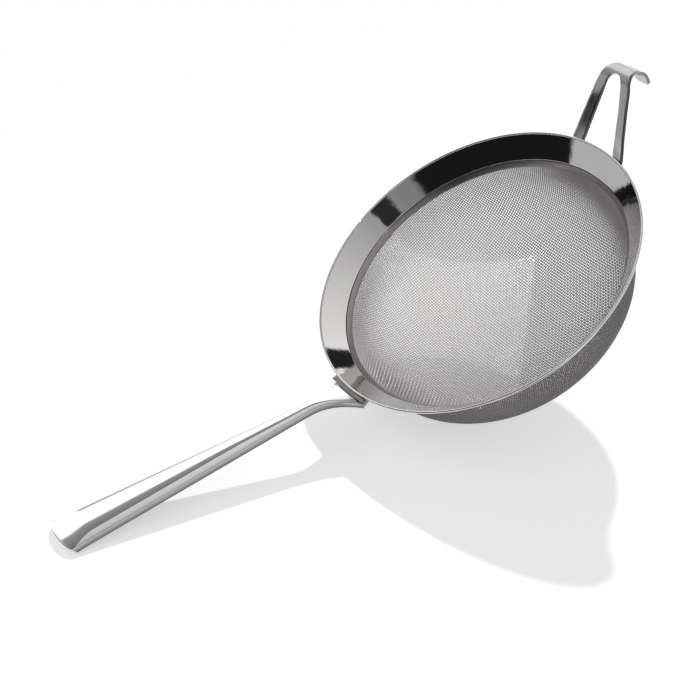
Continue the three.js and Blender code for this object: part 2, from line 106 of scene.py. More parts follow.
def ramp(tree, value, low, high, smooth=True):
    """0 below low, 1 above high, for a socket; low may be above high to turn it round."""
    node = tree.nodes.new("ShaderNodeMapRange")
    node.interpolation_type = "SMOOTHSTEP" if smooth else "LINEAR"
    flip = low > high
    wire(tree, value, node.inputs["Value"])
    node.inputs["From Min"].default_value = min(low, high)
    node.inputs["From Max"].default_value = max(low, high)
    node.inputs["To Min"].default_value = 1.0 if flip else 0.0
    node.inputs["To Max"].default_value = 0.0 if flip else 1.0
    return node.outputs["Result"]


def blend_value(tree, share, first, second):
    """A number between two others, each a number or a socket, by a share from 0 to 1."""
    node = tree.nodes.new("ShaderNodeMix")
    node.data_type = "FLOAT"
    wire(tree, share, node.inputs[0])
    feed(tree, first, node.inputs[2])
    feed(tree, second, node.inputs[3])
    return node.outputs[0]


# Each flag of the room: bearing and height of its middle, half its width and height, all in
# degrees, how soft its edge is, and how bright it is.
ROOM_FLAGS = [
    (78, 15.75, 26, 34.75, 2.5, 1.4),
    (78, 5, 6, 16, 2.0, 0.45),
    (78, 69.5, 42, 17.5, 2.2, 0.32),
    (78, 78, 60, 20, 9.5, 0.2),
    (36, 33, 6, 5.5, 1.0, 0.02),
    (-167.75, 6, 41.75, 30, 1.5, 0.012),
    (129.25, -10, 21.25, 12, 1.5, 0.62),
    (-108, 49, 7, 4, 0.8, 0.03),
    (-78, 17, 30, 8, 2.0, 1.15),
]
# Behind the flags the room rises from dim to bright along a level direction.
ROOM_BRIGHT = 1.07
ROOM_DIM = 0.30
ROOM_RISE = (0.92, 0.39)
ROOM_RISE_ENDS = (-0.6, 0.8)
ROOM_FILL = 0.32


def build_room():
    """The room with its flags, as the steel mirrors it. Dull surfaces get an even fill from
    it, and the camera sees it as plain white."""
    world = bpy.data.worlds.new("studio")
    world.use_nodes = True
    tree = world.node_tree
    tree.nodes.clear()
    toward = tree.nodes.new("ShaderNodeTexCoord").outputs["Generated"]
    parts = tree.nodes.new("ShaderNodeSeparateXYZ")
    wire(tree, toward, parts.inputs[0])
    x, y, z = parts.outputs
    bearing = math_node(tree, "ARCTAN2", y, x)
    height = math_node(tree, "ARCSINE", z)
    to_right = math_node(tree, "MULTIPLY", x, ROOM_RISE[0])
    away = math_node(tree, "MULTIPLY_ADD", y, ROOM_RISE[1], to_right)
    risen = ramp(tree, away, *ROOM_RISE_ENDS, smooth=False)
    level = blend_value(tree, risen, ROOM_DIM, ROOM_BRIGHT)
    for at, up, wide, tall, soft, bright in ROOM_FLAGS:
        at, up, wide, tall, soft = (math.radians(v) for v in (at, up, wide, tall, soft))
        turn = math_node(tree, "SUBTRACT", bearing, at)
        turn = math_node(tree, "WRAP", turn, math.pi, -math.pi)
        across = ramp(tree, math_node(tree, "ABSOLUTE", turn), wide + soft, wide - soft)
        rise = math_node(tree, "ABSOLUTE", math_node(tree, "SUBTRACT", height, up))
        mask = math_node(tree, "MULTIPLY", across, ramp(tree, rise, tall + soft, tall - soft))
        level = blend_value(tree, mask, level, bright)
    ray = tree.nodes.new("ShaderNodeLightPath").outputs
    level = blend_value(tree, ray["Is Diffuse Ray"], level, ROOM_FILL)
    level = blend_value(tree, ray["Is Camera Ray"], level, 1.0)
    background = tree.nodes.new("ShaderNodeBackground")
    wire(tree, level, background.inputs["Color"])
    output = tree.nodes.new("ShaderNodeOutputWorld")
    wire(tree, background.outputs[0], output.inputs[0])
    scene.world = world


build_room()

# The key lights the table and casts the shadows on it; the steel doesn't mirror it.
key_data = bpy.data.lights.new("key", "SUN")
key_data.energy = KEY_STRENGTH
key_data.angle = KEY_ANGLE
key = bpy.data.objects.new("key", key_data)
key.rotation_euler = KEY_FALL.to_track_quat("-Z", "Y").to_euler()
key.visible_glossy = False
scene.collection.objects.link(key)

# The lamp, above the near side, lights a patch of the cloth inside the bowl.
lamp_data = bpy.data.lights.new("lamp", "AREA")
lamp_data.shape = "RECTANGLE"
lamp_data.size, lamp_data.size_y = LAMP_SIZE
lamp_data.spread = LAMP_SPREAD
lamp_data.energy = LAMP_POWER
lamp = bpy.data.objects.new("lamp", lamp_data)
lamp.location = LAMP_PLACE
lamp.rotation_euler = LAMP_TURN
scene.collection.objects.link(lamp)

table_mesh = bpy.data.meshes.new("table")
table_mesh.from_pydata(
    [(TABLE_LEFT, TABLE_FRONT, 0), (TABLE_RIGHT, TABLE_FRONT, 0),
     (TABLE_RIGHT, TABLE_BACK, 0), (TABLE_LEFT, TABLE_BACK, 0)],
    [], [(0, 1, 2, 3)])
table = bpy.data.objects.new("table", table_mesh)
scene.collection.objects.link(table)
table_paint = bpy.data.materials.new("table white")
table_paint.use_nodes = True
table_shader = table_paint.node_tree.nodes["Principled BSDF"]
table_shader.inputs["Base Color"].default_value = (TABLE_WHITE, TABLE_WHITE, TABLE_WHITE, 1)
table_shader.inputs["Roughness"].default_value = TABLE_ROUGHNESS
table_shader.inputs["Specular IOR Level"].default_value = 0.0
table_shader.inputs["Emission Color"].default_value = (1, 1, 1, 1)
table_shader.inputs["Emission Strength"].default_value = TABLE_GLOW
table_mesh.materials.append(table_paint)

# Rim: one sheet of stainless steel spun into a wide cone with a rolled edge, then stepped
# out into the lip that holds the mesh. Its inside is polished to a mirror.
MM = 0.001
BOWL_SPOT = Matrix.Translation((0.07383731, 0, 0.08097174))
BOWL_LEAN = Matrix.Rotation(math.radians(-30.64617), 4, "Y")
BOWL_PLACE = BOWL_SPOT @ BOWL_LEAN
BEAD_CENTRE = np.array((99.3, -0.7))
BEAD_RADIUS = 0.7
SHEET = 1.0
CONE_ANGLE = 45
CONE_DOWN = np.array((-math.sqrt(0.5), -math.sqrt(0.5)))
CONE_OUT = np.array((math.sqrt(0.5), -math.sqrt(0.5)))
CONE_SLANT = 15.9
CONE_ROWS = 12
CONE_ROW_ENDS = (0.06, 0.94)
BEAD_STEPS = 28
LIP_ANGLE = math.radians(54)
LIP_DOWN = np.array((-math.cos(LIP_ANGLE), -math.sin(LIP_ANGLE)))
LIP_OUT = np.array((math.sin(LIP_ANGLE), -math.cos(LIP_ANGLE)))
LIP_LENGTH = 4.1
SEAT_GAP = 0.3
RING_THICKNESS = 0.6
RING_WIDTH = 3.8
SLOT_FOR_MESH = 1.0
RIM_FOLD = 0.5
RIM_CORNER = 0.3
RIM_TURNS = 360
RIM_SHARP = 35
NEVER_SHARP = 180
CORNER_REACH = 0.45
RIM_LIGHT = (0.69, 0.68, 0.675)
RIM_DARK = (0.63, 0.62, 0.615)


def rounded(corners, steps=5):
    """A closed outline through corners given as (point, radius), with the corners rounded."""
    outline = []
    count = len(corners)
    for i, (corner, radius) in enumerate(corners):
        corner = np.asarray(corner, float)
        if radius <= 0:
            outline.append(corner)
            continue
        before = np.asarray(corners[i - 1][0], float) - corner
        after = np.asarray(corners[(i + 1) % count][0], float) - corner
        room = min(np.linalg.norm(before), np.linalg.norm(after))
        reach = min(radius, CORNER_REACH * room)
        start = corner + before / np.linalg.norm(before) * reach
        end = corner + after / np.linalg.norm(after) * reach
        for t in np.linspace(0, 1, steps + 1):
            outline.append((1 - t) ** 2 * start + 2 * t * (1 - t) * corner + t * t * end)
    return outline


def placed_mesh(name, points, faces, sharp_degrees, shares=None):
    """A mesh of points in millimetres in the bowl's own frame, put in its place. The shares,
    where given, say for each point how much of the material's dark colour it has: weld tint or
    painted shade."""
    mesh = bpy.data.meshes.new(name)
    mesh.from_pydata([tuple(float(c) * MM for c in p) for p in points], [], faces)
    if shares is not None:
        mesh.attributes.new("weld_tint_and_painted_shade", "FLOAT", "POINT").data.foreach_set("value", shares)
    mesh.transform(BOWL_PLACE)
    work = bmesh.new()
    work.from_mesh(mesh)
    bmesh.ops.remove_doubles(work, verts=work.verts, dist=1e-7)
    bmesh.ops.recalc_face_normals(work, faces=work.faces)
    work.to_mesh(mesh)
    work.free()
    mesh.shade_smooth()
    mesh.set_sharp_from_angle(angle=math.radians(sharp_degrees))
    return mesh


def piece(name, mesh, material, node):
    """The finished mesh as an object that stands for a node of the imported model."""
    mesh.materials.clear()
    mesh.materials.append(material)
    made = bpy.data.objects.new(name, mesh)
    scene.collection.objects.link(made)
    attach(made, "root")
    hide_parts(node)


def spun(outline, turns):
    """A closed outline in radius and height, turned about the bowl's axis."""
    count = len(outline)
    points = []
    for k in range(turns):
        angle = 2 * math.pi * k / turns
        points += [(r * math.cos(angle), r * math.sin(angle), z) for r, z in outline]
    faces = []
    for k in range(turns):
        here, there = k * count, (k + 1) % turns * count
        for i in range(count):
            j = (i + 1) % count
            faces.append((here + i, here + j, there + j, there + i))
    return points, faces


def rim_outline():
    """The outline of the rim's section, and the foot of its cone on the inside."""
    inner_rise = BEAD_RADIUS - SHEET
    start = math.radians(-CONE_ANGLE)
    end = math.radians(360 - CONE_ANGLE) - math.acos(inner_rise / BEAD_RADIUS)
    outline = []
    for angle in np.linspace(start, end, BEAD_STEPS):
        outline.append(BEAD_CENTRE + BEAD_RADIUS * np.array((math.cos(angle), math.sin(angle))))
    foot = BEAD_CENTRE + CONE_OUT * inner_rise + CONE_DOWN * CONE_SLANT
    for share in np.linspace(*CONE_ROW_ENDS, CONE_ROWS):
        outline.append(BEAD_CENTRE + CONE_OUT * inner_rise + CONE_DOWN * CONE_SLANT * share)
    ring_top = foot + CONE_DOWN * SEAT_GAP
    step = RING_THICKNESS + SLOT_FOR_MESH - (foot - ring_top) @ LIP_OUT
    lip_top = foot + LIP_OUT * step
    corner = lip_top - LIP_DOWN * SHEET + LIP_OUT * SHEET
    cone_line = BEAD_CENTRE + CONE_OUT * BEAD_RADIUS
    beyond = (corner - cone_line) @ CONE_OUT / (LIP_OUT @ CONE_OUT)
    tail = [
        (foot, RIM_FOLD),
        (lip_top, RIM_CORNER),
        (lip_top + LIP_DOWN * LIP_LENGTH, RIM_CORNER),
        (lip_top + LIP_DOWN * LIP_LENGTH + LIP_OUT * SHEET, RIM_CORNER),
        (corner, RIM_FOLD),
        (corner - LIP_OUT * beyond, RIM_FOLD),
    ]
    closed = [(outline[-1], 0)] + tail + [(outline[0], 0)]
    return outline + rounded(closed)[1:-1], foot


def new_metal(name):
    """A metal with its own shader; returns the material, its tree and its shader."""
    material = bpy.data.materials.new(name)
    material.use_nodes = True
    tree = material.node_tree
    shader = tree.nodes["Principled BSDF"]
    shader.inputs["Metallic"].default_value = 1.0
    return material, tree, shader


def noise(tree, vector, scale, detail=2.0):
    """A noise texture; its scale is a number or a socket."""
    node = tree.nodes.new("ShaderNodeTexNoise")
    wire(tree, vector, node.inputs["Vector"])
    feed(tree, scale, node.inputs["Scale"])
    node.inputs["Detail"].default_value = detail
    return node.outputs["Fac"]


def bump(tree, shader, height, strength, distance):
    """Small relief of a shader's surface, its depth given in metres."""
    node = tree.nodes.new("ShaderNodeBump")
    node.inputs["Strength"].default_value = strength
    node.inputs["Distance"].default_value = distance
    wire(tree, height, node.inputs["Height"])
    wire(tree, node.outputs[0], shader.inputs["Normal"])


def object_place(tree):
    """Object coordinates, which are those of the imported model."""
    return tree.nodes.new("ShaderNodeTexCoord").outputs["Object"]


MARKS_DETAIL = 3.0


def marks_group():
    """Marks that all the steel carries: fine grain drawn out along one direction, and broad
    cloudy smudges."""
    group = bpy.data.node_groups.new("steel marks", "ShaderNodeTree")
    face = group.interface
    for name in ("Grain place", "Grain scale", "Cloud place"):
        face.new_socket(name, in_out="INPUT", socket_type="NodeSocketVector")
    face.new_socket("Cloud scale", in_out="INPUT", socket_type="NodeSocketFloat")
    for name in ("Grain", "Cloud"):
        face.new_socket(name, in_out="OUTPUT", socket_type="NodeSocketFloat")
    enter = group.nodes.new("NodeGroupInput").outputs
    leave = group.nodes.new("NodeGroupOutput").inputs
    stretched = group.nodes.new("ShaderNodeVectorMath")
    stretched.operation = "MULTIPLY"
    wire(group, enter["Grain place"], stretched.inputs[0])
    wire(group, enter["Grain scale"], stretched.inputs[1])
    wire(group, noise(group, stretched.outputs[0], 1.0, MARKS_DETAIL), leave["Grain"])
    cloud = noise(group, enter["Cloud place"], enter["Cloud scale"], MARKS_DETAIL)
    wire(group, cloud, leave["Cloud"])
    return group


steel_marks = marks_group()


def steel_marks_on(tree, grain_place, grain_scale, cloud_place, cloud_scale):
    """The grain and the smudges of a steel surface."""
    node = tree.nodes.new("ShaderNodeGroup")
    node.node_tree = steel_marks
    wire(tree, grain_place, node.inputs["Grain place"])
    wire(tree, cloud_place, node.inputs["Cloud place"])
    node.inputs["Grain scale"].default_value = grain_scale
    node.inputs["Cloud scale"].default_value = cloud_scale
    return node.outputs["Grain"], node.outputs["Cloud"]


def mixed(tree, first, first_share, second, second_share, base=0.0):
    """base + first * first_share + second * second_share."""
    part = math_node(tree, "MULTIPLY_ADD", first, first_share, base)
    return math_node(tree, "MULTIPLY_ADD", second, second_share, part)


def blend_colour(tree, share, first, second):
    """A colour between two others, each a colour or a socket, by a share from 0 to 1."""
    node = tree.nodes.new("ShaderNodeMix")
    node.data_type = "RGBA"
    wire(tree, share, node.inputs[0])
    for slot, colour in zip(node.inputs[6:8], (first, second)):
        if isinstance(colour, tuple):
            slot.default_value = (*colour, 1)
        else:
            wire(tree, colour, slot)
    return node.outputs[2]


def bowl_frame_place(tree):
    """Object coordinates turned back into the bowl's own frame, round its axis."""
    node = tree.nodes.new("ShaderNodeMapping")
    node.vector_type = "TEXTURE"
    wire(tree, object_place(tree), node.inputs["Vector"])
    node.inputs["Location"].default_value = BOWL_PLACE.to_translation()
    node.inputs["Rotation"].default_value = BOWL_PLACE.to_euler()
    return node.outputs[0]


def round_axis(tree, place):
    """A place as its direction from the axis and its distance from it, for turned grain."""
    parts = tree.nodes.new("ShaderNodeSeparateXYZ")
    wire(tree, place, parts.inputs[0])
    x, y, z = parts.outputs
    square = math_node(tree, "MULTIPLY", x, x)
    radius = math_node(tree, "SQRT", math_node(tree, "MULTIPLY_ADD", y, y, square))
    together = tree.nodes.new("ShaderNodeCombineXYZ")
    wire(tree, math_node(tree, "DIVIDE", x, radius), together.inputs[0])
    wire(tree, math_node(tree, "DIVIDE", y, radius), together.inputs[1])
    wire(tree, math_node(tree, "ADD", radius, z), together.inputs[2])
    return together.outputs[0]


mirror_steel, tree, shader = new_metal("mirror polished steel")
place = object_place(tree)
turned_place = round_axis(tree, bowl_frame_place(tree))
grain, cloud = steel_marks_on(tree, turned_place, (3.0, 3.0, 2500.0), place, 75.0)
wire(tree, mixed(tree, grain, 0.05, cloud, 0.08, -0.015), shader.inputs["Roughness"])
wire(tree, blend_colour(tree, cloud, RIM_LIGHT, RIM_DARK), shader.inputs["Base Color"])
waves = mixed(tree, noise(tree, place, 60), 1.0, noise(tree, place, 190), 0.22)
bump(tree, shader, waves, strength=1.0, distance=0.00011)

rim_section, cone_foot = rim_outline()
rim_points, rim_faces = spun(rim_section, RIM_TURNS)
rim_mesh = placed_mesh("rim", rim_points, rim_faces, RIM_SHARP)
piece("rim_spun", rim_mesh, mirror_steel, "rim")

# Clamp ring: a strip of satin steel pressed inside the lip, which grips the edge of the
# mesh; its lower edge is turned over a little.
RING_CORNER = 0.15
RING_TURNED = 0.35
RING_TURNED_OUT = 0.25
RING_TURNED_ROUND = 0.25
RING_SHARP = 50
RING_LIGHT = (0.33, 0.315, 0.31)
RING_DARK = (0.23, 0.218, 0.213)

satin_steel, tree, shader = new_metal("satin steel")
turned_place = round_axis(tree, bowl_frame_place(tree))
grain, cloud = steel_marks_on(tree, turned_place, (5.0, 5.0, 3000.0), object_place(tree), 160.0)
wire(tree, mixed(tree, grain, 0.2, cloud, 0.2, 0.15), shader.inputs["Roughness"])
wire(tree, blend_colour(tree, cloud, RING_LIGHT, RING_DARK), shader.inputs["Base Color"])
bump(tree, shader, mixed(tree, grain, 0.4, cloud, 1.0), strength=0.6, distance=0.00006)

ring_top = cone_foot + CONE_DOWN * SEAT_GAP
ring_section = rounded([
    (ring_top, RING_CORNER),
    (ring_top + LIP_DOWN * (RING_WIDTH - RING_TURNED), RING_TURNED_ROUND),
    (ring_top + LIP_DOWN * RING_WIDTH + LIP_OUT * RING_TURNED_OUT, RING_TURNED_ROUND),
    (ring_top + LIP_DOWN * RING_WIDTH + LIP_OUT * RING_THICKNESS, RING_CORNER),
    (ring_top + LIP_OUT * RING_THICKNESS, RING_CORNER),
])
ring_points, ring_faces = spun(ring_section, RIM_TURNS)
ring_mesh = placed_mesh("clamp_ring", ring_points, ring_faces, RING_SHARP)
piece("ring_pressed", ring_mesh, satin_steel, "clamp_ring")

# Mesh: plain woven stainless wire, drawn into a deep, flat-bottomed bowl. The edge of the
# cloth goes up between the lip and the clamp ring.
WIRE_PITCH = 1.5
WIRE_DIAMETER = 0.6
WIRE_CRIMP = 0.42
WIRE_SIDES = 5
WIRE_STEP = WIRE_PITCH / 3
WIRE_GROUPS = 5
WIRE_LIGHT = (0.69, 0.66, 0.665)
WIRE_DARK = (0.53, 0.505, 0.51)
# Colour of the painted shade on the wires that face out of the bowl, and how far they must face
# out to take it.
WIRE_PAINTED_SHADE = (0.2, 0.195, 0.192)
WIRE_PAINTED_SHADE_FROM = (0.0, 0.35)
CLOTH_INSET = 0.4
CLOTH_INSET_RUN = 6
BOWL_DEPTH = 51.1
BOWL_FULLNESS = 2.6
BOWL_STEPS = 220
BOWL_MIDDLE = BOWL_PLACE @ Vector((0, 0, -0.02))
MESH_IN_SLOT = RING_THICKNESS + SLOT_FOR_MESH / 2
SHADE_GAP = 0.9
SHADE_STRIDE = 4
SHADE_TURNS = 120

mesh_edge = ring_top + LIP_DOWN * 2 * SEAT_GAP + LIP_OUT * MESH_IN_SLOT
bowl_mouth = ring_top + LIP_DOWN * RING_WIDTH + LIP_OUT * MESH_IN_SLOT


def bowl_profile():
    """The middle of the cloth from the middle of the bowl's floor to its clamped edge."""
    power = 2 / BOWL_FULLNESS
    line = []
    for t in np.linspace(0, 1, BOWL_STEPS):
        angle = math.pi / 2 * (1 - t)
        r = bowl_mouth[0] * max(math.cos(angle), 0.0) ** power
        z = bowl_mouth[1] - BOWL_DEPTH * math.sin(angle) ** power
        line.append((r, z))
    line[0] = (0.0, bowl_mouth[1] - BOWL_DEPTH)
    line = np.array(line)
    along = np.gradient(line, axis=0)
    along /= np.linalg.norm(along, axis=1)[:, None]
    inward = np.stack([-along[:, 1], along[:, 0]], axis=1)
    below_mouth = np.clip((bowl_mouth[1] - line[:, 1]) / CLOTH_INSET_RUN, 0, 1)
    line += inward * (CLOTH_INSET * below_mouth)[:, None]
    line[0, 0] = 0.0
    return np.vstack([line, mesh_edge])


profile = bowl_profile()
cloth_reach = float(np.sum(np.linalg.norm(np.diff(profile, axis=0), axis=1)))


def weave_tree():
    """Geometry nodes that lay straight wires side by side, bend them over and under the
    wires that cross them, and wrap them over the bowl, whose half section they are given."""
    tree = bpy.data.node_groups.new("woven wires", "GeometryNodeTree")
    tree.is_modifier = True
    face = tree.interface
    face.new_socket("Geometry", in_out="INPUT", socket_type="NodeSocketGeometry")
    sockets = {}
    kinds = dict.fromkeys(("Pitch", "Diameter", "Crimp", "Reach", "Step", "Turn"), "Float")
    kinds.update(dict.fromkeys(("First wire", "Wires", "Samples", "Sides"), "Int"))
    kinds["Material"] = "Material"
    for name, kind in kinds.items():
        made = face.new_socket(name, in_out="INPUT", socket_type="NodeSocket" + kind)
        sockets[name] = made.identifier
    face.new_socket("Geometry", in_out="OUTPUT", socket_type="NodeSocketGeometry")
    enter = tree.nodes.new("NodeGroupInput").outputs
    leave = tree.nodes.new("NodeGroupOutput").inputs

    def add(kind, **settings):
        node = tree.nodes.new(kind)
        for name, value in settings.items():
            setattr(node, name, value)
        return node

    def join(*values):
        node = add("ShaderNodeCombineXYZ")
        for slot, value in zip(node.inputs, values):
            feed(tree, value, slot)
        return node.outputs[0]

    def split(vector):
        node = add("ShaderNodeSeparateXYZ")
        wire(tree, vector, node.inputs[0])
        return node.outputs

    def sums(operation, *values):
        return math_node(tree, operation, *values)

    section = add("GeometryNodeMeshToCurve")
    wire(tree, enter["Geometry"], section.inputs["Mesh"])

    strand = add("GeometryNodeMeshLine", mode="OFFSET")
    wire(tree, enter["Samples"], strand.inputs["Count"])
    half_count = sums("MULTIPLY", sums("SUBTRACT", enter["Samples"], 1.0), 0.5)
    half_length = sums("MULTIPLY", half_count, enter["Step"])
    wire(tree, join(sums("MULTIPLY", half_length, -1.0), 0, 0), strand.inputs["Start Location"])
    wire(tree, join(enter["Step"], 0, 0), strand.inputs["Offset"])
    strand_curve = add("GeometryNodeMeshToCurve")
    wire(tree, strand.outputs[0], strand_curve.inputs["Mesh"])

    comb = add("GeometryNodeMeshLine", mode="OFFSET")
    wire(tree, enter["Wires"], comb.inputs["Count"])
    first_place = sums("MULTIPLY", enter["First wire"], enter["Pitch"])
    wire(tree, join(0, first_place, 0), comb.inputs["Start Location"])
    wire(tree, join(0, enter["Pitch"], 0), comb.inputs["Offset"])

    laid = add("GeometryNodeInstanceOnPoints")
    wire(tree, comb.outputs[0], laid.inputs["Points"])
    wire(tree, strand_curve.outputs[0], laid.inputs["Instance"])
    flat = add("GeometryNodeRealizeInstances")
    wire(tree, laid.outputs[0], flat.inputs[0])

    spot = add("GeometryNodeInputPosition").outputs[0]
    x, y, _ = split(spot)
    far = add("ShaderNodeVectorMath", operation="LENGTH")
    wire(tree, spot, far.inputs[0])
    distance = far.outputs["Value"]
    cut = add("GeometryNodeDeleteGeometry", domain="POINT")
    wire(tree, flat.outputs[0], cut.inputs["Geometry"])
    wire(tree, sums("GREATER_THAN", distance, enter["Reach"]), cut.inputs["Selection"])

    on_bowl = add("GeometryNodeSampleCurve", mode="LENGTH", use_all_curves=True)
    wire(tree, section.outputs[0], on_bowl.inputs["Curves"])
    wire(tree, distance, on_bowl.inputs["Length"])
    radius, _, height = split(on_bowl.outputs["Position"])
    along_r, _, along_z = split(on_bowl.outputs["Tangent"])
    angle = sums("ADD", sums("ARCTAN2", y, x), enter["Turn"])
    wire_number = sums("DIVIDE", y, enter["Pitch"])
    phase = sums("ADD", sums("DIVIDE", x, enter["Pitch"]), sums("ROUND", wire_number))
    over_under = sums("MULTIPLY", sums("COSINE", sums("MULTIPLY", phase, math.pi)), enter["Crimp"])
    out = sums("ADD", radius, sums("MULTIPLY", along_z, over_under))
    up = sums("SUBTRACT", height, sums("MULTIPLY", along_r, over_under))
    wrapped_x = sums("MULTIPLY", out, sums("COSINE", angle))
    wrapped_y = sums("MULTIPLY", out, sums("SINE", angle))
    drawn = add("GeometryNodeSetPosition")
    wire(tree, cut.outputs[0], drawn.inputs["Geometry"])
    wire(tree, join(wrapped_x, wrapped_y, up), drawn.inputs["Position"])

    round_wire = add("GeometryNodeCurvePrimitiveCircle")
    wire(tree, enter["Sides"], round_wire.inputs["Resolution"])
    wire(tree, sums("MULTIPLY", enter["Diameter"], 0.5), round_wire.inputs["Radius"])
    swept = add("GeometryNodeCurveToMesh")
    wire(tree, drawn.outputs[0], swept.inputs["Curve"])
    wire(tree, round_wire.outputs[0], swept.inputs["Profile Curve"])
    swept.inputs["Fill Caps"].default_value = True
    whole = add("GeometryNodeRealizeInstances")
    wire(tree, swept.outputs[0], whole.inputs[0])
    coloured = add("GeometryNodeSetMaterial")
    wire(tree, whole.outputs[0], coloured.inputs["Geometry"])
    wire(tree, enter["Material"], coloured.inputs["Material"])
    wire(tree, coloured.outputs[0], leave["Geometry"])
    return tree, sockets


def faces_outward(tree, middle):
    """How far a surface looks away from a point inside the bowl: 1 away, -1 towards it."""
    from_middle = tree.nodes.new("ShaderNodeVectorMath")
    from_middle.operation = "SUBTRACT"
    wire(tree, object_place(tree), from_middle.inputs[0])
    from_middle.inputs[1].default_value = middle
    outward = tree.nodes.new("ShaderNodeVectorMath")
    outward.operation = "NORMALIZE"
    wire(tree, from_middle.outputs[0], outward.inputs[0])
    share = tree.nodes.new("ShaderNodeVectorMath")
    share.operation = "DOT_PRODUCT"
    wire(tree, outward.outputs[0], share.inputs[0])
    wire(tree, tree.nodes.new("ShaderNodeNewGeometry").outputs["Normal"], share.inputs[1])
    return share.outputs["Value"]


# The wires are bright where they look into the bowl; where they look out of it their colour is
# darkened, a painted shade.
wire_steel, tree, shader = new_metal("drawn wire")
place = object_place(tree)
grain, cloud = steel_marks_on(tree, place, (1500.0, 1500.0, 1500.0), place, 90.0)
wire(tree, mixed(tree, grain, 0.2, cloud, 0.1, 0.27), shader.inputs["Roughness"])
inside_colour = blend_colour(tree, grain, WIRE_LIGHT, WIRE_DARK)
# Painted shade on the wires that face out of the bowl.
outside = ramp(tree, faces_outward(tree, BOWL_MIDDLE), *WIRE_PAINTED_SHADE_FROM)
wire_colour = blend_colour(tree, outside, inside_colour, WIRE_PAINTED_SHADE)
wire(tree, wire_colour, shader.inputs["Base Color"])

weave, weave_inputs = weave_tree()
wire_count = int(cloth_reach / WIRE_PITCH)
samples = 2 * (int(cloth_reach / WIRE_STEP) + 1) + 1


def woven(name, turn, crimp, first, wires):
    """One group of neighbouring wires of the cloth, as a plain mesh."""
    mesh = bpy.data.meshes.new(name + " section")
    points = [(r * MM, 0, z * MM) for r, z in profile]
    mesh.from_pydata(points, [(i, i + 1) for i in range(len(points) - 1)], [])
    made = bpy.data.objects.new(name, mesh)
    scene.collection.objects.link(made)
    modifier = made.modifiers.new("weave", "NODES")
    modifier.node_group = weave
    values = {
        "Pitch": WIRE_PITCH * MM, "Diameter": WIRE_DIAMETER * MM, "Crimp": crimp * MM,
        "Reach": cloth_reach * MM, "Step": WIRE_STEP * MM, "Turn": turn, "First wire": first,
        "Wires": wires, "Samples": samples, "Sides": WIRE_SIDES, "Material": wire_steel,
    }
    for key_name, value in values.items():
        modifier[weave_inputs[key_name]] = value
    depsgraph = bpy.context.evaluated_depsgraph_get()
    result = bpy.data.meshes.new_from_object(made.evaluated_get(depsgraph))
    bpy.data.objects.remove(made)
    bpy.data.meshes.remove(mesh)
    result.transform(BOWL_PLACE)
    result.shade_smooth()
    return result


group_size = (2 * wire_count + 1) / WIRE_GROUPS
group_edges = [round(-wire_count + group_size * k) for k in range(WIRE_GROUPS + 1)]
for family, turn, crimp in (("warp", 0.0, WIRE_CRIMP), ("weft", math.pi / 2, -WIRE_CRIMP)):
    for k, (first, beyond) in enumerate(zip(group_edges, group_edges[1:])):
        name = f"mesh_{family}_{k + 1}"
        cloth = woven(name, turn, crimp * WIRE_DIAMETER, first, beyond - first)
        piece(name, cloth, wire_steel, "mesh_basket")


def key_shade():
    """A studio shade just under the cloth, which keeps the key from shining through it and
    so makes its shadow on the table even. Only the shadows show it."""
    along = np.gradient(profile, axis=0)
    along /= np.linalg.norm(along, axis=1)[:, None]
    outside = profile + np.stack([along[:, 1], -along[:, 0]], axis=1) * SHADE_GAP
    below = np.vstack([outside[SHADE_STRIDE:-1:SHADE_STRIDE], outside[-1:]])
    points = []
    for angle in np.linspace(0, 2 * math.pi, SHADE_TURNS, endpoint=False):
        points += [(r * math.cos(angle), r * math.sin(angle), z) for r, z in below]
    faces = []
    count = len(below)
    for k in range(SHADE_TURNS):
        here, there = k * count, (k + 1) % SHADE_TURNS * count
        faces += [(here + i, here + i + 1, there + i + 1, there + i) for i in range(count - 1)]
    faces.append(tuple(k * count for k in range(SHADE_TURNS)))
    return placed_mesh("key_shade", points, faces, NEVER_SHARP)


shade = bpy.data.objects.new("key_shade", key_shade())
scene.collection.objects.link(shade)
shade.visible_camera = False
shade.visible_glossy = False
shade.visible_diffuse = False
shade.visible_transmission = False

# Bracket: a short bar of satin steel bent to the curve of the rim and welded under it; the
# root of the handle is welded to its outside. Its ends flare, rise at the bottom and are eased.
BRACKET_LENGTH = 33
BRACKET_HEIGHT = 6.6
BRACKET_DROP = 1.2
BRACKET_OUTSIDE = 102.5
BRACKET_EDGE = 0.6
BRACKET_SEAT_EDGE = 0.3
BRACKET_END = 2.0
BRACKET_END_EASE = 1.2
BRACKET_STEPS = 60
BRACKET_END_FLARE = 0.9
BRACKET_END_RUN = 4.5
BRACKET_END_LIFT = 3.2
BRACKET_LIFT_RUN = 7
BRACKET_SHARP = 40
BRACKET_LIGHT = (0.38, 0.365, 0.36)
BRACKET_DARK = (0.2, 0.19, 0.187)


def skinned(rings):
    """Points and faces of a skin over a row of closed rings, closed at both ends."""
    count = len(rings[0])
    points = [p for ring in rings for p in ring]
    faces = []
    for i in range(len(rings) - 1):
        here, there = i * count, (i + 1) * count
        for j in range(count):
            k = (j + 1) % count
            faces.append((here + j, here + k, there + k, there + j))
    last = (len(rings) - 1) * count
    faces.append(tuple(range(count))[::-1])
    faces.append(tuple(range(last, last + count)))
    return points, faces


def clamped(value):
    """The value, kept between 0 and 1."""
    return min(max(value, 0.0), 1.0)


def eased(value):
    """A smooth step from 0 to 1 as the value goes from 0 to 1."""
    t = clamped(value)
    return t * t * (3 - 2 * t)


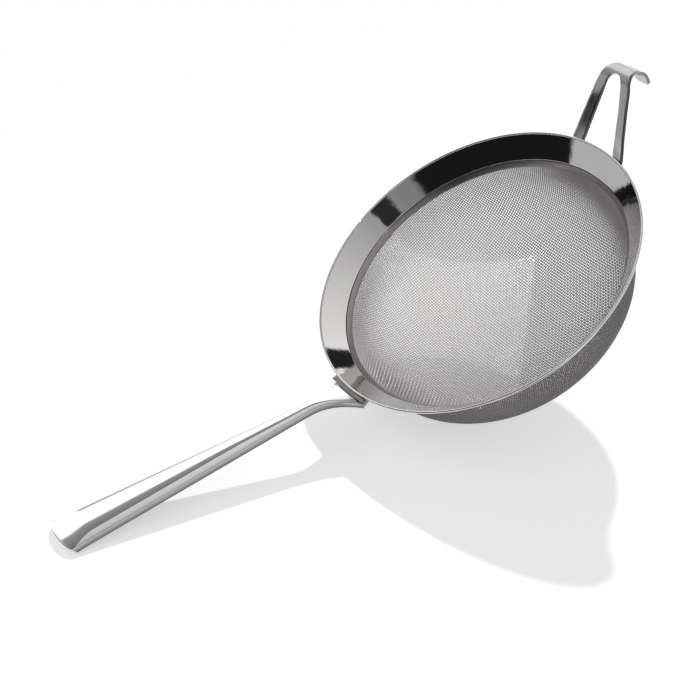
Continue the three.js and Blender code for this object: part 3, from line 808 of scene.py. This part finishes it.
def bracket_rings():
    """Sections of the bar from end to end, each as points round it."""
    top = -BRACKET_DROP
    bottom = top - BRACKET_HEIGHT
    seat = BEAD_CENTRE + CONE_OUT * (BEAD_RADIUS + SEAT_GAP)
    half_angle = math.asin(BRACKET_LENGTH / 2 / BRACKET_OUTSIDE)
    rings = []
    for turn in np.sin(np.linspace(-math.pi / 2, math.pi / 2, BRACKET_STEPS)):
        angle = turn * half_angle
        from_end = (1 - abs(turn)) * BRACKET_LENGTH / 2
        inside = max(0.0, 1 - from_end / BRACKET_END)
        ease = BRACKET_END_EASE * (1 - math.sqrt(1 - inside * inside))
        low = bottom + ease + BRACKET_END_LIFT * eased(1 - from_end / BRACKET_LIFT_RUN)
        high = top - ease
        flare = eased(1 - from_end / BRACKET_END_RUN) * BRACKET_END_FLARE
        out = BRACKET_OUTSIDE + flare - ease
        section = rounded([
            ((seat[0] + high - seat[1], high), BRACKET_SEAT_EDGE),
            ((out, high), BRACKET_EDGE),
            ((out, low), BRACKET_EDGE),
            ((seat[0] + low - seat[1], low), BRACKET_SEAT_EDGE),
        ])
        rings.append([(-r * math.cos(angle), r * math.sin(angle), z) for r, z in section])
    return rings


block_steel, tree, shader = new_metal("satin block")
place = object_place(tree)
grain, cloud = steel_marks_on(tree, place, (900.0, 60.0, 900.0), place, 220.0)
wire(tree, mixed(tree, grain, 0.15, cloud, 0.2, 0.1), shader.inputs["Roughness"])
wire(tree, blend_colour(tree, cloud, BRACKET_LIGHT, BRACKET_DARK), shader.inputs["Base Color"])
bump(tree, shader, mixed(tree, grain, 0.5, cloud, 1.0), strength=0.5, distance=0.00008)

bracket_mesh = placed_mesh("handle_bracket", *skinned(bracket_rings()), BRACKET_SHARP)
piece("bracket_bar", bracket_mesh, block_steel, "handle_bracket")

# Handle: a forged bar that narrows from a wide crowned tip to its neck and opens again into a
# flare along its bracket. A facet runs along each side of its top and fades before the tip.
# It is polished, but for its underside and lower sides, which are duller and darkened with painted
# shade, and the tint at its weld.
HANDLE_RUN = 167
HANDLE_SLOPE = 0.401
HANDLE_LINE_HEIGHT = -1
HANDLE_ROOT_LIFT = 1.1
HANDLE_DIP_RUN = 22
HANDLE_FLARE_RUN = 25
HANDLE_FLARE_POWER = 2.6
HANDLE_ROOT_TURN_RUN = 22
HANDLE_ROOT_WIDTH = 28.5
HANDLE_NECK_WIDTH = 10.3
HANDLE_TIP_WIDTH = 30.2
HANDLE_SIDE = 2.9
HANDLE_SIDE_FOOT = 0.15
HANDLE_SIDE_ROUND = 0.3
HANDLE_SIDE_LEAN = math.tan(math.radians(20))
HANDLE_FACET = 3.1
HANDLE_NECK_FACET = 1.8
HANDLE_FACET_FALL = math.tan(math.radians(35))
HANDLE_FACET_SWELL = 0.05
HANDLE_FACET_AT_ROOT = 0.5
HANDLE_FACET_GROWTH = 0.4
HANDLE_FACET_END = 16
HANDLE_FACET_AT_TIP = 0.06
HANDLE_FACET_SPOTS = (0.05, 0.25, 0.5, 0.75, 0.95)
HANDLE_RIDGE_ROUND = 0.25
HANDLE_CROWN_SPOTS = (*np.linspace(0, 0.92, 13), 0.97)
HANDLE_UNDERSIDE_SPOTS = (0.3, 0.15, 0)
HANDLE_CROWN_RISE = math.tan(math.radians(13)) / 2
HANDLE_TIP_RUN = 14
HANDLE_TIP_ROUND = 0.8
HANDLE_TIP_UNDERCUT = 4.4
HANDLE_TIP_UNDERCUT_FADE = 0.75
HANDLE_TIP_SHORT = 0.8
HANDLE_NOSE = 1.2
HANDLE_NOSE_NARROWING = 0.03
HANDLE_TIP_BULGE = 2.6
HANDLE_TIP_BULGE_RISE = 0.5
HANDLE_TIP_CORNER = 2.0
HANDLE_FLARE_STEPS = 30
HANDLE_BLADE_STEPS = 70
HANDLE_NOSE_STEPS = 12
HANDLE_SHARP = 60
HANDLE_LEAN = math.radians(8.8)
HANDLE_LIGHT = (0.93, 0.925, 0.92)
HANDLE_DARK = (0.86, 0.855, 0.85)
HANDLE_WELD_TINT_AND_PAINTED_SHADE = (0.12, 0.12, 0.125)
# Dark colour on the handle, painted shade on its lower sides and underside and the tint at its
# weld: how dark, and over which share of the side's height or length of the bar.
FOOT_SHADE_FROM = 0.15
FOOT_SHADE_RUN = 0.6
SIDE_SHADE = 0.5
SIDE_SHADE_FROM = 1.05
SIDE_SHADE_RUN = 0.25
WELD_TINT = 0.3
WELD_TINT_RUN = 2.5


def between(first, second, share):
    """A number between two others, by a share from 0 to 1."""
    return first + (second - first) * share


def handle_width(s):
    """Width of the bar at a distance from its bracket."""
    flare = clamped(1 - s / HANDLE_FLARE_RUN) ** HANDLE_FLARE_POWER
    share = clamped((s - HANDLE_FLARE_RUN) / (HANDLE_RUN - HANDLE_FLARE_RUN))
    blade = between(HANDLE_NECK_WIDTH, HANDLE_TIP_WIDTH, share)
    return blade + (HANDLE_ROOT_WIDTH - HANDLE_NECK_WIDTH) * flare


def handle_facet(s):
    """Level width of the facet, which opens at the root, grows along the blade and runs out
    before the tip."""
    opening = between(HANDLE_FACET_AT_ROOT, 1, eased(s / HANDLE_FLARE_RUN))
    grown = eased((s - HANDLE_FLARE_RUN / 2) / (HANDLE_RUN * HANDLE_FACET_GROWTH))
    run_out = eased((s - HANDLE_RUN + HANDLE_FACET_END) / HANDLE_FACET_END)
    width = opening * between(HANDLE_NECK_FACET, HANDLE_FACET, grown)
    return width * between(1, HANDLE_FACET_AT_TIP, run_out)


def handle_half(s):
    """Half the section, from the middle of the crown to the middle of the underside: places
    across the handle and up from its underside, with corner radii. Also its side's height."""
    nose = clamped((s - HANDLE_RUN + HANDLE_NOSE) / HANDLE_NOSE)
    round_off = 1 - math.sqrt(1 - nose * nose)
    width = handle_width(s) * (1 - HANDLE_NOSE_NARROWING * round_off)
    facet = handle_facet(s)
    edge = width / 2 - HANDLE_SIDE * HANDLE_SIDE_LEAN
    ridge = edge - facet
    shoulder = HANDLE_SIDE + facet * HANDLE_FACET_FALL
    crown = ridge * HANDLE_CROWN_RISE
    foot = HANDLE_SIDE * HANDLE_SIDE_FOOT
    half = [(ridge * u, shoulder + crown * (1 - u * u), 0) for u in HANDLE_CROWN_SPOTS]
    half.append((ridge, shoulder, HANDLE_RIDGE_ROUND))
    for u in HANDLE_FACET_SPOTS:
        swell = facet * HANDLE_FACET_SWELL * 4 * u * (1 - u)
        half.append((ridge + facet * u, shoulder - facet * HANDLE_FACET_FALL * u + swell, 0))
    for y, v in ((edge, HANDLE_SIDE), (width / 2, foot), (width / 2 - foot, 0)):
        half.append((y, v, HANDLE_SIDE_ROUND))
    half += [(width * share, 0, 0) for share in HANDLE_UNDERSIDE_SPOTS]
    thinning = 1 - HANDLE_TIP_ROUND / (shoulder + crown) * round_off
    thinned = [((y, v * thinning), radius * thinning) for y, v, radius in half]
    return thinned, HANDLE_SIDE * thinning


def handle_ring(s):
    """The section at a distance from the bracket, and for each of its points the share of dark
    colour: painted shade or weld tint.
    """
    seat = BRACKET_OUTSIDE + SEAT_GAP
    left = clamped(1 - s / HANDLE_DIP_RUN)
    dip = HANDLE_LINE_HEIGHT + BRACKET_DROP + BRACKET_HEIGHT - HANDLE_ROOT_LIFT
    height = HANDLE_LINE_HEIGHT + HANDLE_SLOPE * s - dip * left * left
    slope = HANDLE_SLOPE + 2 * dip * left / HANDLE_DIP_RUN
    along = np.array((-1.0, 0.0, slope)) / math.hypot(1, slope)
    upward = np.array((slope, 0.0, 1.0)) / math.hypot(1, slope)
    to_root = clamped(1 - s / HANDLE_ROOT_TURN_RUN) ** 2
    to_tip = clamped((s - HANDLE_RUN + HANDLE_TIP_RUN) / HANDLE_TIP_RUN) ** 2
    half, side = handle_half(s)
    mirrored = [((-y, v), radius) for (y, v), radius in half[1:-1]][::-1]
    ring = []
    tint_and_shade = []
    for y, v in rounded(half + mirrored, 4):
        spot = np.array((-seat - s, y, height)) + upward * v
        seat_x = -math.sqrt(seat ** 2 - y * y) - s
        to_seat = (seat_x - spot[0]) / along[0]
        across = 2 * y / handle_width(s)
        bulge = HANDLE_TIP_BULGE * (HANDLE_TIP_BULGE_RISE - across ** 2)
        bulge -= HANDLE_TIP_CORNER * across ** 6
        undercut = HANDLE_TIP_UNDERCUT * (1 - HANDLE_TIP_UNDERCUT_FADE * across ** 2)
        bulge -= HANDLE_TIP_SHORT + undercut * (1 - clamped(v / side))
        ring.append(spot + along * (to_seat * to_root + bulge * to_tip))
        up_side = v / side
        # The foot and underside take painted shade, and the side below its top edge half of it;
        # near the root the weld has a real tint.
        painted_foot_shade = 1 - eased((up_side - FOOT_SHADE_FROM) / FOOT_SHADE_RUN)
        painted_side_shade = SIDE_SHADE * (1 - eased((up_side - SIDE_SHADE_FROM) / SIDE_SHADE_RUN))
        weld_tint = WELD_TINT * clamped(1 - s / WELD_TINT_RUN)
        tint_and_shade.append(max(painted_foot_shade, painted_side_shade, weld_tint))
    return ring, tint_and_shade


# Distances from the bracket at which the handle has a section, closer together at its nose.
nose_start = HANDLE_RUN - HANDLE_NOSE
nose_rounding = np.sin(np.linspace(0, math.pi / 2, HANDLE_NOSE_STEPS))
handle_stations = list(np.linspace(0, HANDLE_FLARE_RUN, HANDLE_FLARE_STEPS))
handle_stations += list(np.linspace(HANDLE_FLARE_RUN, nose_start, HANDLE_BLADE_STEPS)[1:])
handle_stations += [HANDLE_RUN - HANDLE_NOSE * (1 - q) for q in nose_rounding[1:]]

bar_steel, tree, shader = new_metal("polished bar")
lengthways = tree.nodes.new("ShaderNodeMapping")
lengthways.inputs["Rotation"].default_value = (0, HANDLE_LEAN, 0)
wire(tree, object_place(tree), lengthways.inputs["Vector"])
place = lengthways.outputs[0]
grain, cloud = steel_marks_on(tree, place, (25.0, 1800.0, 1800.0), place, 60.0)
# The dark colour: painted shade on the lower sides and underside, and the tint of the weld at the
# root.
weld_tint_and_painted_shade = tree.nodes.new("ShaderNodeAttribute")
weld_tint_and_painted_shade.attribute_name = "weld_tint_and_painted_shade"
tint_and_shade_share = weld_tint_and_painted_shade.outputs["Fac"]
smooth_finish = mixed(tree, grain, 0.07, cloud, 0.06)
wire(tree, mixed(tree, tint_and_shade_share, 0.3, smooth_finish, 1.0), shader.inputs["Roughness"])
bright = blend_colour(tree, cloud, HANDLE_LIGHT, HANDLE_DARK)
wire(tree, blend_colour(tree, tint_and_shade_share, bright, HANDLE_WELD_TINT_AND_PAINTED_SHADE), shader.inputs["Base Color"])
waves = noise(tree, object_place(tree), 45)
bump(tree, shader, mixed(tree, grain, 0.15, waves, 1.0), strength=0.6, distance=0.00004)

handle_rings = [handle_ring(s) for s in handle_stations]
handle_skin = skinned([ring for ring, _ in handle_rings])
handle_tint_and_shade = [share for _, tint_and_shade in handle_rings for share in tint_and_shade]
handle_mesh = placed_mesh("handle", *handle_skin, HANDLE_SHARP, handle_tint_and_shade)
piece("handle_bar", handle_mesh, bar_steel, "handle")

# Hook: one blank of sheet steel with two legs, an arch and a tongue, bent over along its
# length and spot-welded under the rim by the feet of its legs.
HOOK_THICKNESS = 2
HOOK_LEG_WIDTH = 8.4
HOOK_ARCH_WIDTH = 6.3
HOOK_LEG_SPACING = 38.6
HOOK_ARCH_SPACING = 18.8
HOOK_LAP = 9
HOOK_LEG_LENGTH = 40.3
HOOK_LEG_ANGLE = 45.4
HOOK_BEND_RADIUS = 7
HOOK_TONGUE_WIDTH = 10.5
HOOK_TONGUE_ANGLE = -66
HOOK_DIP_ANGLE = -45
HOOK_CURL_ANGLE = -92
HOOK_DIP_RADIUS = 10
HOOK_CURL_RADIUS = 8
HOOK_END = 5.4
HOOK_CORNER = 1.6
HOOK_FOOT_BEND = 5
HOOK_FREE_RUN = 14
HOOK_TWIST = math.tan(math.radians(13.5))
HOOK_TWIST_END = 0.7
HOOK_ARCH_PLACE = 3 / 11
HOOK_SHOULDER_EARLY = 4
HOOK_SHOULDER_LATE = 7
HOOK_EDGE = 0.35
HOOK_SHARP = math.radians(50)
HOOK_COLUMNS = 6
HOOK_BEND_STEPS = 24
HOOK_LEG_STEPS = 40
HOOK_ROUND_STEPS = 16
HOOK_TONGUE_STEPS = 48
HOOK_LIGHT = (0.5, 0.49, 0.495)
HOOK_DARK = (0.38, 0.372, 0.376)
# The sheared edges are darker than the faces, and less so on the tongue, which starts here.
HOOK_SHEARED_FROM = (0.45, 0.8)
HOOK_SHEARED = (0.07, 0.07, 0.072)
HOOK_TONGUE_SHEARED = (0.22, 0.216, 0.218)
HOOK_TONGUE_FROM = (0.172, 0.18)
RIM_RADIUS = 100


def bend(radius, start, end):
    """A run of the sheet bent to a radius from one angle to another."""
    return radius * abs(math.radians(end - start)), start, end


# Each run of the bent sheet: its length and the angles in degrees where it starts and ends.
HOOK_RUNS = [
    (HOOK_LAP + SHEET, CONE_ANGLE, CONE_ANGLE),
    (HOOK_FOOT_BEND, CONE_ANGLE, HOOK_LEG_ANGLE),
    (HOOK_LEG_LENGTH - HOOK_FOOT_BEND, HOOK_LEG_ANGLE, HOOK_LEG_ANGLE),
    bend(HOOK_BEND_RADIUS, HOOK_LEG_ANGLE, HOOK_TONGUE_ANGLE),
    bend(HOOK_DIP_RADIUS, HOOK_TONGUE_ANGLE, HOOK_DIP_ANGLE),
    bend(HOOK_CURL_RADIUS, HOOK_DIP_ANGLE, HOOK_CURL_ANGLE),
    (HOOK_END, HOOK_CURL_ANGLE, HOOK_CURL_ANGLE),
]
hook_marks = np.cumsum([run[0] for run in HOOK_RUNS])
hook_bend, hook_tongue, hook_end = hook_marks[2], hook_marks[3], hook_marks[-1]
hook_arch_top = hook_bend + (hook_tongue - hook_bend) * HOOK_ARCH_PLACE
hook_arch_radius = (HOOK_ARCH_SPACING - HOOK_ARCH_WIDTH) / 2
hook_shoulder_start = hook_bend - HOOK_SHOULDER_EARLY
hook_shoulder_run = hook_tongue + HOOK_SHOULDER_LATE - hook_shoulder_start


def hook_middle(s):
    """Radius and height of the middle of the sheet at a distance along it."""
    under_cone = BEAD_RADIUS + SEAT_GAP + HOOK_THICKNESS / 2
    at = BEAD_CENTRE + CONE_OUT * under_cone + CONE_DOWN * HOOK_LAP
    for length, start, end in HOOK_RUNS:
        part = min(s, length)
        steps = 1 if start == end else HOOK_BEND_STEPS
        for k in range(steps):
            angle = math.radians(between(start, end, (k + 0.5) / steps * part / length))
            at = at + np.array((math.cos(angle), math.sin(angle))) * part / steps
        s -= part
        if s <= 1e-9:
            break
    return at


def hook_edges(s):
    """Half the slot between the legs, and half the outside width, at a distance along."""
    up = clamped(s / hook_bend)
    spacing = between(HOOK_LEG_SPACING, HOOK_ARCH_SPACING, up)
    width = between(HOOK_LEG_WIDTH, HOOK_ARCH_WIDTH, up)
    into_arch = clamped((s - hook_arch_top + hook_arch_radius) / hook_arch_radius)
    slot = (spacing - width) / 2 * math.sqrt(1 - into_arch * into_arch)
    shoulder = eased((s - hook_shoulder_start) / hook_shoulder_run)
    outside = between((spacing + width) / 2, HOOK_TONGUE_WIDTH / 2, shoulder)
    corner = clamped((s - hook_end + HOOK_CORNER) / HOOK_CORNER)
    return slot, outside - HOOK_CORNER * (1 - math.sqrt(1 - corner * corner))


def hook_blank():
    """The middle of the bent sheet as one open surface."""
    quarter = np.sin(np.linspace(0, math.pi / 2, HOOK_ROUND_STEPS))
    stations = list(np.linspace(0, hook_arch_top - hook_arch_radius, HOOK_LEG_STEPS))
    stations += [hook_arch_top - hook_arch_radius * (1 - q) for q in quarter[1:]]
    stations += list(np.linspace(hook_arch_top, hook_end - HOOK_CORNER, HOOK_TONGUE_STEPS)[1:])
    stations += [hook_end - HOOK_CORNER * (1 - q) for q in quarter[1::2]]
    level = RIM_RADIUS - math.sqrt(RIM_RADIUS ** 2 - (HOOK_LEG_SPACING / 2) ** 2)
    points = []
    faces = []
    row = HOOK_COLUMNS + 1
    for hand in (-1, 1):
        first = len(points)
        for s in stations:
            r, z = hook_middle(s)
            slot, outside = hook_edges(s)
            free = eased((s - HOOK_LAP) / HOOK_FREE_RUN)
            leg = (slot + outside) / 2
            untwisted = eased((s / hook_bend - HOOK_TWIST_END) / (1 - HOOK_TWIST_END))
            for y in np.linspace(slot, outside, row):
                wrap = RIM_RADIUS - math.sqrt(RIM_RADIUS ** 2 - y * y)
                turned = level + HOOK_TWIST * (y - leg) * (1 - untwisted)
                points.append((r - between(wrap, turned, free), hand * y, z))
        for i in range(len(stations) - 1):
            for c in range(HOOK_COLUMNS):
                a = first + i * row + c
                faces.append((a, a + 1, a + 1 + row, a + row))
    return points, faces


def thickened(name, mesh):
    """The sheet given its thickness, with its edges eased, as a plain mesh."""
    made = bpy.data.objects.new(name, mesh)
    scene.collection.objects.link(made)
    wall = made.modifiers.new("thickness", "SOLIDIFY")
    wall.thickness = HOOK_THICKNESS * MM
    wall.offset = 0
    eased_edges = made.modifiers.new("eased edges", "BEVEL")
    eased_edges.width = HOOK_EDGE * MM
    eased_edges.segments = 3
    eased_edges.limit_method = "ANGLE"
    eased_edges.angle_limit = HOOK_SHARP
    depsgraph = bpy.context.evaluated_depsgraph_get()
    result = bpy.data.meshes.new_from_object(made.evaluated_get(depsgraph))
    bpy.data.objects.remove(made)
    result.shade_smooth()
    result.set_sharp_from_angle(angle=HOOK_SHARP)
    return result


hook_steel, tree, shader = new_metal("bent sheet")
place = object_place(tree)
grain, cloud = steel_marks_on(tree, place, (700.0, 700.0, 40.0), place, 120.0)
wire(tree, mixed(tree, grain, 0.12, cloud, 0.12, 0.05), shader.inputs["Roughness"])
face_colour = blend_colour(tree, cloud, HOOK_LIGHT, HOOK_DARK)
facing = tree.nodes.new("ShaderNodeSeparateXYZ")
wire(tree, tree.nodes.new("ShaderNodeNewGeometry").outputs["Normal"], facing.inputs[0])
sideways = math_node(tree, "ABSOLUTE", facing.outputs["Y"])
sheared = ramp(tree, sideways, *HOOK_SHEARED_FROM)
hook_along = tree.nodes.new("ShaderNodeSeparateXYZ")
wire(tree, place, hook_along.inputs[0])
on_tongue = ramp(tree, hook_along.outputs["X"], *HOOK_TONGUE_FROM)
edge_colour = blend_colour(tree, on_tongue, HOOK_SHEARED, HOOK_TONGUE_SHEARED)
wire(tree, blend_colour(tree, sheared, face_colour, edge_colour), shader.inputs["Base Color"])
bump(tree, shader, mixed(tree, grain, 0.3, cloud, 1.0), strength=0.5, distance=0.00006)

hook_sheet = placed_mesh("rest_hook", *hook_blank(), NEVER_SHARP)
hook_mesh = thickened("hook_sheet", hook_sheet)
piece("hook_bent", hook_mesh, hook_steel, "rest_hook")
